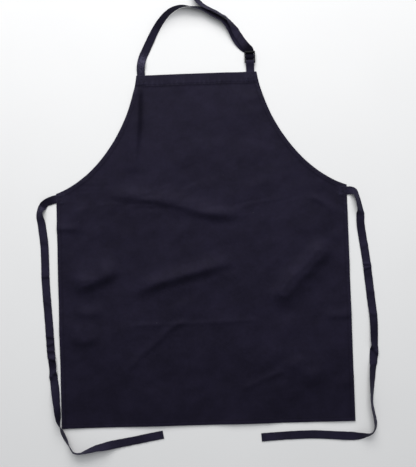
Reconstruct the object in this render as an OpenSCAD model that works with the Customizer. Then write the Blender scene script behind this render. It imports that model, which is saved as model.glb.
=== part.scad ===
// Bib apron of woven cotton, lying flat with its neck strap and waist ties spread out.
// Frame: X across the apron, left is -X. Y from the hem towards the neck.
// Z up, out of the face that carries the hems.
// Origin: centre of the waistline, on the plane the apron rests on.

/* [Apron cloth] */
// Width of the skirt, side to side
skirt_w = 716; // [690:2:740]
// Length of the skirt from the waistline to the bottom edge
skirt_l = 576; // [560:1:578]
// Width of the bib along its top edge
bib_w = 298; // [290:1:304]
// Height of the bib above the waistline
bib_h = 287; // [280:1:290]
// Sideways lie of the bib's top edge, where the cloth is pulled over by its strap
bib_lean = -2.5; // [-3:0.5:0]
// Thickness of one layer of cloth
cloth_t = 0.6; // [0.5:0.05:0.7]

/* [Hems] */
// Width of the folded hem along the top of the bib
top_hem = 27; // [24:1:34]
// Width of the folded hem along the armholes
arm_hem = 10; // [8:0.5:11]
// Width of the folded hem down each side
side_hem = 9; // [8:0.5:10]
// Width of the folded hem along the bottom edge
bottom_hem = 10; // [8:0.5:14]

/* [Armhole curve] */
// Pull of the curve at the bib corner, X and Y
arm_pull_bib = [164, 174]; // [0:1:300]
// Pull of the curve at the waist corner, X and Y
arm_pull_waist = [246, 38]; // [0:1:300]
// Number of straight steps that make each armhole curve
arm_steps = 28; // [16:2:40]

/* [Straps] */
// Width of the neck strap and the waist ties
tape_w = 20; // [18:0.5:20.5]
// Thickness of the neck strap and the waist ties
tape_t = 1.2; // [1:0.1:1.3]
// Number of steps along each strap between two lay points
tape_steps = 4; // [3:1:5]
// Length of each strap end that is sewn inside a hem
sewn_l = 20; // [14:1:24]

/* [Slide buckle] */
// Distance of the buckle's centre line from the middle of the bib
buckle_x = 131; // [129:0.5:132]
// Diameter of the three cross bars
bar_d = 4; // [3.6:0.1:4]
// Distance between neighbouring cross bars
bar_pitch = 12; // [11.5:0.5:13]
// Thickness of each side rail, across the apron
rail_w = 2.4; // [2:0.1:3]
// Clearance of each strap edge inside the buckle
rail_gap = 0.7; // [0.5:0.1:1]
// Height of the bars' centre line above the resting plane
bar_z = 4.9; // [4.8:0.1:5.4]
// Clearance of the cloth loop round a bar
bar_gap = 0.1; // [0.05:0.05:0.1]
// Slack of the strap where it rides over the middle bar
loop_slack = 1.4; // [1.2:0.1:2]

/* [Stitching] */
// Width of a seam thread
thread_w = 0.5; // [0.4:0.05:0.8]
// Height of a seam thread above the cloth
thread_t = 0.25; // [0.2:0.05:0.4]

/* [Hidden] */
$fn = 48;

navy = [0.11, 0.11, 0.19];
thread_navy = [0.15, 0.15, 0.26];
buckle_black = [0.03, 0.03, 0.035];

half_skirt = skirt_w / 2;
half_bib = bib_w / 2;
hem_t = 3 * cloth_t;        // a hem is three layers of cloth
fold_y = 6;                 // line where the bib meets the skirt
fold_gap = 0.1;             // gap on each side of that line
fold_margin = 2;            // distance from that line to the ends of fields and armhole seams
far = skirt_w;              // reach of a cut that must clear the apron
cut_over = 9;               // height and overrun of the cuts in the cloth

neck_x = -139.5;            // centre line of the neck strap at the bib
left_tie_y = -13;           // centre line of the left tie at the side edge
right_tie_y = -15;          // centre line of the right tie at the side edge
floor_gap = 0.1;            // clearance of the straps above the resting plane
edge_gap = 0.3;             // distance from the cloth edge to the start of a free strap
sewn_gap = 0.1;             // distance from the cloth edge back to a sewn-in strap end

pocket_gap = 0.1;           // clearance above and below a sewn-in strap end
pocket_side = 0.3;          // clearance beside and behind a sewn-in strap end
pocket_over = 2;            // overrun at a pocket's mouth
pad_w = tape_w + 7;         // width of the thick waist corner that takes a tie end
tab_t = 2 * tape_t;         // the buckle tab is a doubled strap
strap_z = cloth_t + pocket_gap;     // underside of a strap where it leaves its hem
strap_pad_t = tape_t + 2 * pocket_gap + 2 * cloth_t;
tab_pad_t = tab_t + 2 * pocket_gap + 2 * cloth_t;

lower_bar_y = bib_h + 23;
middle_bar_y = lower_bar_y + bar_pitch;
upper_bar_y = middle_bar_y + bar_pitch;

// ---- armhole curve ----
// Place t runs from 0 at the bib corner to 1 at the waist corner of the right armhole.
function bezier(a, b, c, d, t) =
    pow(1-t, 3)*a + 3*pow(1-t, 2)*t*b + 3*(1-t)*t*t*c + t*t*t*d;
function arm_point(t) =
    bezier([half_bib, bib_h], arm_pull_bib, arm_pull_waist, [half_skirt, 0], t);
function arm_dir(t) =
    let(step = arm_point(min(1, t + 0.01)) - arm_point(max(0, t - 0.01))) step / norm(step);
// Point moved square to the curve, into the cloth for a positive inset
function arm_in(t, inset) = let(dir = arm_dir(t)) arm_point(t) + inset * [dir[1], -dir[0]];
function arm_run(inset, from = 0, to = 1) =
    [for (i = [0:arm_steps]) arm_in(from + (to - from) * i / arm_steps, inset)];
// Place where X (axis 0) or Y (axis 1) of the inset curve reaches a value, found by halving
function arm_find(inset, axis, value, low = 0, high = 1, halvings = 24) =
    halvings == 0 ? (low + high) / 2 :
    let(mid = (low + high) / 2,
        reached = arm_in(mid, inset)[axis],
        past = axis == 1 ? reached < value : reached > value)
    arm_find(inset, axis, value, past ? low : mid, past ? mid : high, halvings - 1);

function mirrored(points) = [for (i = [len(points) - 1:-1:0]) [-points[i][0], points[i][1]]];
function leaned(points) = [for (p = points) [p[0] + bib_lean * max(0, p[1]) / bib_h, p[1]]];
function both_sides(points) = leaned(concat(points, mirrored(points)));

// ---- strap stations ----
// Lay points are [x, y, roll, lift]: roll turns the strap on edge in degrees,
// lift raises it off the resting plane.
// A station is [centre, direction of the strap's width, direction of its front face].
function centre_of(s) = s[0];
function across_of(s) = s[1];
function face_of(s) = s[2];

// Catmull-Rom curve through the lay points
function knot(points, i) = points[max(0, min(len(points) - 1, i))];
function spline(points, i, t) =
    let(a = knot(points, i-1), b = knot(points, i), c = knot(points, i+1), d = knot(points, i+2))
    0.5 * (2*b + (c - a)*t + (2*a - 5*b + 4*c - d)*t*t + (3*b - a - 3*c + d)*t*t*t);
function lay_curve(points) = [
    for (i = [0:len(points) - 2], k = [0:tape_steps - 1]) spline(points, i, k / tape_steps),
    points[len(points) - 1]
];

function station(point, heading) =
    let(dir = heading / norm(heading),
        roll = point[2],
        side = [-dir[1], dir[0], 0],
        across = cos(roll) * side + [0, 0, sin(roll)],
        face = -sin(roll) * side + [0, 0, cos(roll)],
        z = tape_w/2 * abs(sin(roll)) + tape_t/2 * abs(cos(roll)) + point[3])
    [[point[0], point[1], z], across, face];
// A strap starts square to the first heading
function stations(points, first_heading) =
    let(curve = lay_curve(points), last = len(curve) - 1)
    [for (i = [0:last])
        let(step = curve[min(last, i + 1)] - curve[max(0, i - 1)])
        station(curve[i], i == 0 ? first_heading : [step[0], step[1]])];
// Moves every station along its face and across its width
function shifted(run, up, across) =
    [for (s = run) [centre_of(s) + up * face_of(s) + across * across_of(s),
        across_of(s), face_of(s)]];
function trimmed(run, skip_first, skip_last) =
    [for (i = [skip_first:len(run) - 1 - skip_last]) run[i]];

// ---- neck strap ----
// From the left corner of the bib, over the neck, to the buckle: [x, y, roll, lift]
neck_lay = [
    [neck_x, bib_h + edge_gap, 0, strap_z], [-140, 300, 0, 1.5], [-136, 326, 4, 0.1],
    [-121, 357, 12, 0.1], [-104, 390, 28, 0.1], [-86, 418, 42, 0.1], [-64, 441, 62, 0.1],
    [-36, 453, 92, 0.1], [-10, 452, 114, 0.1], [17, 446, 130, 0.1], [44, 431, 138, 0.1],
    [68, 416, 138, 0.1], [84, 397, 152, 0.1], [99, 369, 170, 0.1], [113, 351, 180, 0.1],
    [125, 342, 180, 0.1], [130, 334, 180, 0.1]];
// The last stretch, close to the buckle, gives way to the buckle stations below
neck_run = [for (s = stations(neck_lay, [0, 1]))
    if (centre_of(s)[1] > upper_bar_y + 7 || centre_of(s)[0] < 0) s];

buckle_reach = 5;                           // threaded strap beyond the upper bar
turn_r = bar_d/2 + bar_gap + tape_t/2;      // bar centre to the middle of a strap round it
turn_bulge = 0.4;                           // extra reach of the turn towards the bib
turn_top = bar_z + turn_r + loop_slack;
under_low = floor_gap + tape_t/2;           // strap centre under the upper bar
tail_z = floor_gap + tape_t + 0.2 + tape_t/2;   // tail centre, on top of the strap
out_steps = 7;

// Eased step from 0 to 1, level at both ends
function eased(t) = let(c = max(0, min(1, t))) c * c * (3 - 2 * c);

// In: under the upper bar, rising to the underside of the middle bar
function in_z(y) =
    under_low + (bar_z - turn_r - under_low) * eased((upper_bar_y - y) / bar_pitch);
buckle_in = [for (offset = [buckle_reach, 2, 0, -3, -6, -9])
    let(y = upper_bar_y + offset)
    [[buckle_x, y, in_z(y)], [-1, 0, 0], [0, 0, -1]]];
// Turn: round the middle bar on the side of the bib
buckle_turn = [for (angle = [0:20:180])
    [[buckle_x,
        middle_bar_y - (turn_r + turn_bulge) * sin(angle),
        bar_z + loop_slack/2 - (turn_r + loop_slack/2) * cos(angle)],
    [-1, 0, 0], [0, -sin(angle), -cos(angle)]]];
// Out: over the middle bar and down under the upper bar, on top of the strap coming in
function out_z(y) =
    turn_top + (tail_z - turn_top) * eased((y - middle_bar_y) / (bar_pitch - 1));
function out_face(y) =
    let(slope = (out_z(y + 0.1) - out_z(y - 0.1)) / 0.2) [0, -slope, 1] / norm([slope, 1]);
buckle_out = [for (k = [1:out_steps])
    let(y = middle_bar_y + k * (upper_bar_y + buckle_reach - middle_bar_y) / out_steps)
    [[buckle_x, y, out_z(y)], [-1, 0, 0], out_face(y)]];

// Free tail, leaving the buckle on top of the strap towards the neck: [x, y, roll, lift]
tail_lay = [
    [buckle_x, upper_bar_y + buckle_reach + 0.4, 0, tail_z - tape_t/2],
    [buckle_x - 1.5, upper_bar_y + 9, 0, 1.9], [121, 352, 4, 1.9], [107, 372, 10, 1.5],
    [97, 389, 22, 1.2], [87, 406, 46, 0.6], [77, 419, 62, 0.1], [60, 431, 58, 0.1],
    [37, 444, 52, 0.1], [18, 455, 46, 0.1], [6, 467, 44, 0.1], [1, 481, 44, 0.1],
    [-2, 503, 44, 0.1]];
tail_run = stations(tail_lay, [0, 1]);

// ---- waist ties ----
// From the side edge, down beside the skirt and in below the hem: [x, y, roll, lift]
left_lay = [
    [-half_skirt - edge_gap, left_tie_y, 0, strap_z], [-372, -17, -16, 0.1],
    [-385, -24, -34, 0.1], [-396, -37, 26, 0.1], [-399, -53, 22, 0.1], [-395, -80, 0, 0.1],
    [-390, -133, 0, 0.1], [-389, -221, 0, 0.1], [-384, -310, 0, 0.1], [-379, -398, 0, 0.1],
    [-374, -457, 0, 0.1], [-371, -485, -24, 0.1], [-368, -514, -48, 0.1],
    [-365, -543, -66, 0.1], [-362, -567, -96, 0.1], [-355, -587, -126, 0.1],
    [-345, -604, -116, 0.1], [-338, -620, -106, 0.1], [-329, -633, -104, 0.1],
    [-315, -635, -98, 0.1], [-300, -631, -81, 0.1], [-286, -627, -66, 0.1],
    [-271, -623, -56, 0.1], [-256, -621, -40, 0.1], [-229, -617, -8, 0.1],
    [-185, -610, 0, 0.1], [-146, -603, 0, 0.1], [-110, -597, 0, 0.1]];
left_run = stations(left_lay, [-1, 0]);
right_lay = [
    [half_skirt + edge_gap, right_tie_y, 0, strap_z], [368, -15, -8, 0.1],
    [376, -19, -44, 0.1], [380, -28, -60, 0.1], [384, -42, -57, 0.1], [388, -69, -40, 0.1],
    [388, -98, -18, 0.1], [392, -130, 0, 0.1], [399, -187, 0, 0.1], [406, -268, 0, 0.1],
    [411, -334, 0, 0.1], [409, -392, 0, 0.1], [404, -449, -28, 0.1], [401, -478, -40, 0.1],
    [399, -506, -60, 0.1], [398, -534, -70, 0.1], [402, -560, -72, 0.1],
    [405, -583, -70, 0.1], [401, -599, -72, 0.1], [392, -607, -58, 0.1],
    [379, -610, -42, 0.1], [364, -612, -20, 0.1], [345, -612, 0, 0.1], [300, -609, 0, 0.1],
    [250, -606, 0, 0.1], [190, -607, 0, 0.1], [129, -610, 0, 0.1]];
right_run = stations(right_lay, [1, 0]);

// Closed solid of rectangular section swept through the stations
module sweep(run, width, thickness) {
    count = len(run);
    points = [for (s = run, corner = [[-1, -1], [1, -1], [1, 1], [-1, 1]])
        centre_of(s) + corner[0] * width/2 * across_of(s) + corner[1] * thickness/2 * face_of(s)];
    sides = [for (i = [0:count - 2], k = [0:3])
        let(a = 4*i + k, b = 4*i + (k + 1) % 4)
        each [[a, a + 4, b + 4], [a, b + 4, b]]];
    end = 4 * count;
    faces = concat([[0, 1, 2], [0, 2, 3]], sides,
        [[end - 2, end - 3, end - 4], [end - 1, end - 2, end - 4]]);
    polyhedron(points = points, faces = faces, convexity = 10);
}
module strap(run) { sweep(run, tape_w, tape_t); }

module left_tie() { color(navy) strap(left_run); }
module right_tie() { color(navy) strap(right_run); }
module neck_strap() { color(navy) strap(concat(neck_run, buckle_in, buckle_turn, buckle_out)); }
module neck_strap_tail() { color(navy) strap(tail_run); }

// ---- sewn-in strap ends ----
module tie_end(x, tie_y) {
    translate([x, tie_y - tape_w/2, strap_z]) cube([sewn_l - sewn_gap, tape_w, tape_t]);
}
module bib_end(x, thickness) {
    translate([x - tape_w/2, bib_h - sewn_l, strap_z])
        cube([tape_w, sewn_l - sewn_gap, thickness]);
}
module left_tie_sewn_end() { color(navy) tie_end(-half_skirt + sewn_gap, left_tie_y); }
module right_tie_sewn_end() { color(navy) tie_end(half_skirt - sewn_l, right_tie_y); }
module neck_strap_sewn_end() { color(navy) bib_end(neck_x, tape_t); }
module buckle_tab_sewn_end() { color(navy) bib_end(buckle_x, tab_t); }

// ---- cloth ----
bib_outline = both_sides(arm_run(0, 0, arm_find(0, 1, fold_y + fold_gap)));
skirt_outline = both_sides(concat(
    arm_run(0, arm_find(0, 1, fold_y - fold_gap), 1),
    [[half_skirt, -skirt_l]]));
// Fields: the single layer of cloth inside the hems
bib_field = both_sides(arm_run(arm_hem,
    arm_find(arm_hem, 1, bib_h - top_hem), arm_find(arm_hem, 1, fold_y - fold_margin)));
skirt_field = both_sides(concat(
    arm_run(arm_hem,
        arm_find(arm_hem, 1, fold_y + fold_margin), arm_find(arm_hem, 0, half_skirt - side_hem)),
    [[half_skirt - side_hem, -skirt_l + bottom_hem]]));

// Space for a strap end in the top edge of the bib
module bib_pocket(x, thickness) {
    translate([x - tape_w/2 - pocket_side, bib_h - sewn_l - pocket_side, cloth_t])
        cube([tape_w + 2*pocket_side, sewn_l + pocket_over, thickness + 2*pocket_gap]);
}
// Space for a tie end in a side edge of the skirt, starting at x
module skirt_pocket(x, tie_y) {
    translate([x, tie_y - tape_w/2 - pocket_side, cloth_t])
        cube([sewn_l + pocket_over + pocket_side, tape_w + 2*pocket_side, tape_t + 2*pocket_gap]);
}
module bib_panel() {
    pad_margin = 5;
    strap_pad_x = neck_x + tape_w/2 + pad_margin;
    tab_pad_x = buckle_x - tape_w/2 - pad_margin;
    pad_y = bib_h - top_hem + 0.7;
    color(navy) difference() {
        linear_extrude(tab_pad_t) polygon(bib_outline);
        translate([0, 0, cloth_t]) linear_extrude(cut_over) polygon(bib_field);
        // Only the two top corners, which hold strap ends, are thicker than a hem
        translate([0, 0, hem_t]) linear_extrude(cut_over) polygon([
            [-far, -cut_over], [far, -cut_over], [far, pad_y],
            [tab_pad_x, pad_y], [tab_pad_x, bib_h + cut_over],
            [strap_pad_x, bib_h + cut_over], [strap_pad_x, pad_y], [-far, pad_y]]);
        // The left corner holds a single strap, so it is lower than the right one
        translate([-far, 0, strap_pad_t]) cube([far, far, cut_over]);
        bib_pocket(neck_x, tape_t);
        bib_pocket(buckle_x, tab_t);
    }
}
module skirt_panel() {
    left_pad_y = left_tie_y - pad_w/2;
    right_pad_y = right_tie_y - pad_w/2;
    pad_x = half_skirt - sewn_l - 4;
    color(navy) difference() {
        linear_extrude(strap_pad_t) polygon(skirt_outline);
        translate([0, 0, cloth_t]) linear_extrude(cut_over) polygon(skirt_field);
        // Only the two waist corners, which hold the tie ends, are thicker than a hem
        translate([0, 0, hem_t]) linear_extrude(cut_over) polygon([
            [-far, -far], [far, -far], [far, right_pad_y], [pad_x, right_pad_y],
            [pad_x, far], [-pad_x, far], [-pad_x, left_pad_y], [-far, left_pad_y]]);
        skirt_pocket(-half_skirt - pocket_over, left_tie_y);
        skirt_pocket(half_skirt - sewn_l - pocket_side, right_tie_y);
    }
}

// ---- buckle and its tab ----
tab_y = bib_h + edge_gap;               // start of the free tab
tab_knee_y = tab_y + 6;                 // where the tab's slope changes
tab_knee_top = strap_z + tab_t + 1.2;
tab_knee_bottom = 0.8;

// Doubled strap that loops round the lower bar: profile in YZ, extruded across X
module buckle_tab() {
    loop_r = turn_r + tape_t/2;
    under_angle = 8;    // where the under and upper sides meet the loop, from the vertical
    over_angle = 14;
    color(navy) translate([buckle_x - tape_w/2, 0, 0])
        rotate([90, 0, 90]) linear_extrude(tape_w) difference() {
            union() {
                polygon([
                    [tab_y, strap_z],
                    [tab_knee_y, tab_knee_bottom],
                    [lower_bar_y - loop_r * sin(under_angle), bar_z - loop_r * cos(under_angle)],
                    [lower_bar_y, bar_z],
                    [lower_bar_y - loop_r * sin(over_angle), bar_z + loop_r * cos(over_angle)],
                    [tab_knee_y, tab_knee_top],
                    [tab_y, strap_z + tab_t]]);
                translate([lower_bar_y, bar_z]) circle(loop_r);
            }
            translate([lower_bar_y, bar_z]) circle(bar_d/2 + bar_gap);
        }
}
// Three-bar slide: two side rails joined by three round bars
module slide_buckle() {
    inner = tape_w/2 + rail_gap;
    bar_bite = 0.5;     // length of a bar inside each rail
    color(buckle_black) translate([buckle_x, 0, bar_z]) union() {
        for (x = [-inner - rail_w, inner])
            translate([x, 0, 0]) rotate([90, 0, 90]) linear_extrude(rail_w) union() {
                translate([lower_bar_y, 0]) circle(d = bar_d);
                translate([upper_bar_y, 0]) circle(d = bar_d);
                translate([lower_bar_y, -bar_d/2]) square([2 * bar_pitch, bar_d]);
            }
        for (y = [lower_bar_y, middle_bar_y, upper_bar_y])
            translate([-inner - bar_bite, y, 0]) rotate([0, 90, 0])
                cylinder(d = bar_d, h = 2 * inner + 2 * bar_bite);
    }
}

// ---- hem threads ----
hem_seam_in = 1.5;      // side and bottom seams, from the hem's inner edge
arm_seam_inset = arm_hem - 2;

module thread_top_hem() {
    reach = arm_in(0.06, 3)[0] - pad_w;
    left = -reach + 4;
    right = reach - 8;
    color(thread_navy) translate([left, bib_h - top_hem + 2, hem_t])
        cube([right - left, thread_w, thread_t]);
}
module thread_bottom_hem() {
    end_gap = 2;
    color(thread_navy)
        translate([-half_skirt + end_gap, -skirt_l + bottom_hem - hem_seam_in, hem_t])
        cube([skirt_w - 2 * end_gap, thread_w, thread_t]);
}
// Runs from the bottom hem to just below the waist corner
module side_seam(x, tie_y) {
    translate([x, -skirt_l + bottom_hem, hem_t])
        cube([thread_w, skirt_l - bottom_hem + tie_y - pad_w/2 - 1, thread_t]);
}
module thread_left_side_hem() {
    color(thread_navy) side_seam(-half_skirt + side_hem - hem_seam_in, left_tie_y);
}
module thread_right_side_hem() {
    color(thread_navy) side_seam(half_skirt - side_hem + hem_seam_in - thread_w, right_tie_y);
}
function armhole_ring() =
    let(start = 0.11,
        end = arm_find(arm_seam_inset, 1, fold_y + fold_margin),
        outer = arm_run(arm_seam_inset, start, end),
        inner = arm_run(arm_seam_inset + thread_w, start, end))
    concat(outer, [for (i = [arm_steps:-1:0]) inner[i]]);
module armhole_seam(ring) {
    translate([0, 0, hem_t]) linear_extrude(thread_t) polygon(leaned(ring));
}
module thread_right_armhole() { color(thread_navy) armhole_seam(armhole_ring()); }
module thread_left_armhole() { color(thread_navy) armhole_seam(mirrored(armhole_ring())); }

// ---- anchor threads: a rectangle of stitches over each sewn-in end ----
anchor_inner = 2;       // from the inner end of the sewn-in strap
anchor_edge = 3;        // from the edge of the cloth
anchor_side = 8;        // from the strap's centre line, where the side is not given

module seam_box(low, high, z) {
    size = high - low;
    translate([0, 0, z]) linear_extrude(thread_t) difference() {
        translate(low) square(size);
        translate(low + [thread_w, thread_w]) square(size - 2 * [thread_w, thread_w]);
    }
}
module bib_anchor(x, z, left = anchor_side) {
    seam_box([x - left, bib_h - sewn_l + anchor_inner],
        [x + anchor_side, bib_h - anchor_edge], z);
}
module tie_anchor(x_low, x_high, tie_y, above) {
    seam_box([x_low, tie_y - anchor_side], [x_high, tie_y + above], strap_pad_t);
}
module thread_neck_strap_anchor() {
    color(thread_navy) bib_anchor(neck_x, strap_pad_t, left = 7.5);
}
module thread_buckle_tab_anchor() { color(thread_navy) bib_anchor(buckle_x, tab_pad_t); }
module thread_left_tie_anchor() {
    color(thread_navy) tie_anchor(-half_skirt + anchor_edge,
        -half_skirt + sewn_l - anchor_inner, left_tie_y, above = 5);
}
module thread_right_tie_anchor() {
    color(thread_navy) tie_anchor(half_skirt - sewn_l + anchor_inner,
        half_skirt - anchor_edge, right_tie_y, above = 6);
}

// ---- strap threads ----
strap_seam_inset = 2;                               // from each edge of a strap
seam_lift = tape_t/2 + thread_t/2 + 0.02;           // strap centre to thread centre

// Two seams along a strap, on its front face (up = 1) or its back face (up = -1)
module edge_seams(run, up = 1) {
    for (side = [-1, 1])
        sweep(shifted(run, up * seam_lift, side * (tape_w/2 - strap_seam_inset)),
            thread_w, thread_t);
}
// The neck strap stands on edge at the top of its loop and shows its other face after that
module thread_neck_strap_edges() {
    before = [for (s = neck_run) if (centre_of(s)[0] < -46) s];
    after = [for (s = neck_run) if (centre_of(s)[0] > -26) s];
    color(thread_navy) {
        edge_seams(trimmed(before, 2, 0));
        edge_seams(trimmed(after, 0, 4), -1);
    }
}
module thread_strap_tail_edges() { color(thread_navy) edge_seams(trimmed(tail_run, 4, 2)); }
module thread_left_tie_edges() { color(thread_navy) edge_seams(trimmed(left_run, 2, 1)); }
module thread_right_tie_edges() { color(thread_navy) edge_seams(trimmed(right_run, 2, 1)); }

// Row of stitches across the end of a strap
module end_seam(run, inset) {
    last = run[len(run) - 1];
    step = centre_of(last) - centre_of(run[len(run) - 2]);
    dir = step / norm(step);
    middle = centre_of(last) - inset * dir;
    seam_l = tape_w - 6;
    sweep([for (k = [-0.5, -0.2, 0.2, 0.5])
        [middle + k * seam_l * across_of(last) + seam_lift * face_of(last), dir, face_of(last)]],
        thread_w, thread_t);
}
module thread_left_tie_end() { color(thread_navy) end_seam(left_run, inset = 7); }
module thread_right_tie_end() { color(thread_navy) end_seam(right_run, inset = 7); }
module thread_strap_tail_end() { color(thread_navy) end_seam(tail_run, inset = 3); }

module thread_buckle_tab_seam() {
    seam_l = 16;
    color(thread_navy) translate([buckle_x - seam_l/2, tab_knee_y, tab_knee_top + 0.1])
        rotate([18, 0, 0]) cube([seam_l, thread_w, thread_t]);
}

skirt_panel();
bib_panel();
left_tie();
left_tie_sewn_end();
right_tie();
right_tie_sewn_end();
neck_strap();
neck_strap_sewn_end();
neck_strap_tail();
buckle_tab();
buckle_tab_sewn_end();
slide_buckle();
thread_top_hem();
thread_bottom_hem();
thread_left_side_hem();
thread_right_side_hem();
thread_left_armhole();
thread_right_armhole();
thread_neck_strap_anchor();
thread_buckle_tab_anchor();
thread_left_tie_anchor();
thread_right_tie_anchor();
thread_neck_strap_edges();
thread_strap_tail_edges();
thread_left_tie_edges();
thread_right_tie_edges();
thread_strap_tail_end();
thread_left_tie_end();
thread_right_tie_end();
thread_buckle_tab_seam();
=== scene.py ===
"""Navy cotton bib apron lying flat on a pale table, built round its CAD frame.

X runs across the apron, Y up it from the waistline (y = 0) to the bib and neck loop, and Z
out of the table. The builders work in millimetres; the frame and Blender are in metres.
"""
import math

import bpy
import numpy as np
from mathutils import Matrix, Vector
from mathutils.bvhtree import BVHTree


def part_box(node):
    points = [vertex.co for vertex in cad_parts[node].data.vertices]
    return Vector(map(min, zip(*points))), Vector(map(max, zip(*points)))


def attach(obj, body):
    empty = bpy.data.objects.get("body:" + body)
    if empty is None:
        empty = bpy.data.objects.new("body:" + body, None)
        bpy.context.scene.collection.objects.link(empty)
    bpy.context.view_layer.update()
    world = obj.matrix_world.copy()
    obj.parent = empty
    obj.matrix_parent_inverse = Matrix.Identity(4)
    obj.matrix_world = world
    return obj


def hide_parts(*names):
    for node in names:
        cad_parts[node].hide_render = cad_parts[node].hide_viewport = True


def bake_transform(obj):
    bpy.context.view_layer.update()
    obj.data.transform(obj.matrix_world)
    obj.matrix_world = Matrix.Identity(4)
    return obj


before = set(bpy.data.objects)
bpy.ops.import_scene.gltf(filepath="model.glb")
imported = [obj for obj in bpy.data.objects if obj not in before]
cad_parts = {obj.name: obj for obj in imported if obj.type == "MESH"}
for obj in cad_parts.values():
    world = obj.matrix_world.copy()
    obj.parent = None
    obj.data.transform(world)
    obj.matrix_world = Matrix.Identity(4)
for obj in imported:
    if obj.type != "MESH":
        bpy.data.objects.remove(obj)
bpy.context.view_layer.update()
scene = bpy.context.scene
scene.view_settings.view_transform = "Standard"
scene.view_settings.look = "None"


# ------------------------------------------------------------------ sizes
def box_mm(node):
    low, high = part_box(node)
    return np.array(low) * 1000, np.array(high) * 1000


skirt_low, skirt_high = box_mm("skirt_panel")
HALF_W = (skirt_high[0] - skirt_low[0]) / 2     # half width of the skirt
SKIRT = -skirt_low[1]                           # skirt length below the waistline
BIB = box_mm("bib_panel")[1][1]                 # bib height
BIB_HALF_W = 149.0                              # half width of the bib's top edge
LEAN = -2.5                                     # sideways shift of the bib's top edge
TOP_HEM, ARM_HEM, SIDE_HEM, BOTTOM_HEM = 27.0, 10.0, 9.0, 10.0
CLOTH, HEM = 0.6, 1.8                           # thickness of one layer and of a hem
SEAM_IN = 8.0                                   # seam line in from a side or armhole edge
TOP_SEAM, BOTTOM_SEAM = 25.2, 8.4               # seam lines in from the top and bottom edges
TAPE_W, TAPE_T = 20.0, 1.2
TAPE_HALF = TAPE_W / 2
TAPE_SEAM = 8.0                                 # seam line out from the middle of a tape
NECK_X, BUCKLE_X = -139.5, 131.0                # middle of the neck strap and buckle tab
LEFT_Y, RIGHT_Y = -13.0, -15.0                  # middle of the ties where they are sewn on
SEWN_DEPTH = 19.5                               # a sewn tape's reach below the bib's top edge
STRAP_Z = 0.7                                   # lift of the sewn tape ends
BAR_RISE, BAR_PITCH = 23, 12
BAR_Y = [BIB + (BAR_RISE + BAR_PITCH * i) for i in range(3)]    # lower, middle, upper bar
BAR_Z, BAR_R = 4.9, 2.0
TURN = 2.7                                      # bar axis to the middle of a tape round it
THREAD_R = 0.27


# ------------------------------------------------------------------ shared helpers
def smooth(t):
    t = np.clip(t, 0, 1)
    return t * t * (3 - 2 * t)


def unit_rows(vectors):
    return vectors / np.linalg.norm(vectors, axis=1, keepdims=True)


def run_along(points):
    """Length run from the first point to each point."""
    return np.concatenate([[0], np.cumsum(np.linalg.norm(np.diff(points, axis=0), axis=1))])


def columns_at(places, run, table):
    """Each column of a table, read off at places along its run."""
    return np.stack([np.interp(places, run, column) for column in table.T], -1)


def nearest(values, target):
    return int(np.argmin(np.abs(values - target)))


def assign(target, **values):
    for key, value in values.items():
        setattr(target, key, value)


class LineNoise:
    """Seeded smooth noise along a line, about -1 to 1."""
    def __init__(self, seed, step):
        self.values = np.random.RandomState(seed).uniform(-1, 1, 4096)
        self.step = step

    def __call__(self, run):
        place = np.asarray(run, float) / self.step + 1024
        i = np.floor(place).astype(int)
        part = smooth(place - i)
        return self.values[i % 4096] * (1 - part) + self.values[(i + 1) % 4096] * part


class PlaneNoise:
    """Seeded smooth noise over a plane, about -1 to 1."""
    def __init__(self, seed, step):
        self.values = np.random.RandomState(seed).uniform(-1, 1, (256, 256))
        self.step = step

    def row(self, i, j, part):
        near, far = self.values[i % 256, j % 256], self.values[(i + 1) % 256, j % 256]
        return near * (1 - part) + far * part

    def __call__(self, x, y):
        across = np.asarray(x, float) / self.step + 64
        along = np.asarray(y, float) / self.step + 64
        i, j = np.floor(across).astype(int), np.floor(along).astype(int)
        part_x, part_y = smooth(across - i), smooth(along - j)
        return self.row(i, j, part_x) * (1 - part_y) + self.row(i, j + 1, part_x) * part_y


# ------------------------------------------------------------------ meshes
def add_object(name, data):
    ob = bpy.data.objects.new(name, data)
    scene.collection.objects.link(ob)
    return ob


def make(name, verts_mm, faces, material, attributes=None):
    mesh = bpy.data.meshes.new(name)
    mesh.from_pydata((np.asarray(verts_mm) / 1000).tolist(), [], faces)
    mesh.validate()
    for key, values in (attributes or {}).items():
        values = np.asarray(values, np.float32)
        kind, field = ("FLOAT_VECTOR", "vector") if values.ndim == 2 else ("FLOAT", "value")
        mesh.attributes.new(key, kind, "POINT").data.foreach_set(field, values.ravel())
    mesh.polygons.foreach_set("use_smooth", [True] * len(mesh.polygons))
    mesh.update()
    ob = add_object(name, mesh)
    mesh.materials.append(material)
    return ob


def stand_for(ob, slot, *nodes):
    """Hides the CAD nodes that the object replaces. The slot is not used."""
    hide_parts(*nodes)


def quads(index):
    """Faces of a grid of vertex numbers."""
    corners = (index[:-1, :-1], index[1:, :-1], index[1:, 1:], index[:-1, 1:])
    return np.stack(corners, -1).reshape(-1, 4)


def wall(rings, size):
    """Faces that join a row of closed rings, each of the given size."""
    faces = []
    for i in range(rings - 1):
        for k in range(size):
            a, b = i * size + k, i * size + (k + 1) % size
            faces.append([a, b, b + size, a + size])
    return faces


def joined(parts):
    """Vertices and faces of several (vertices, faces) parts as one mesh."""
    verts, faces, base = [], [], 0
    for part_verts, part_faces in parts:
        verts.append(part_verts)
        faces += [[i + base for i in face] for face in part_faces]
        base += len(part_verts)
    return np.concatenate(verts), faces


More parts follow.
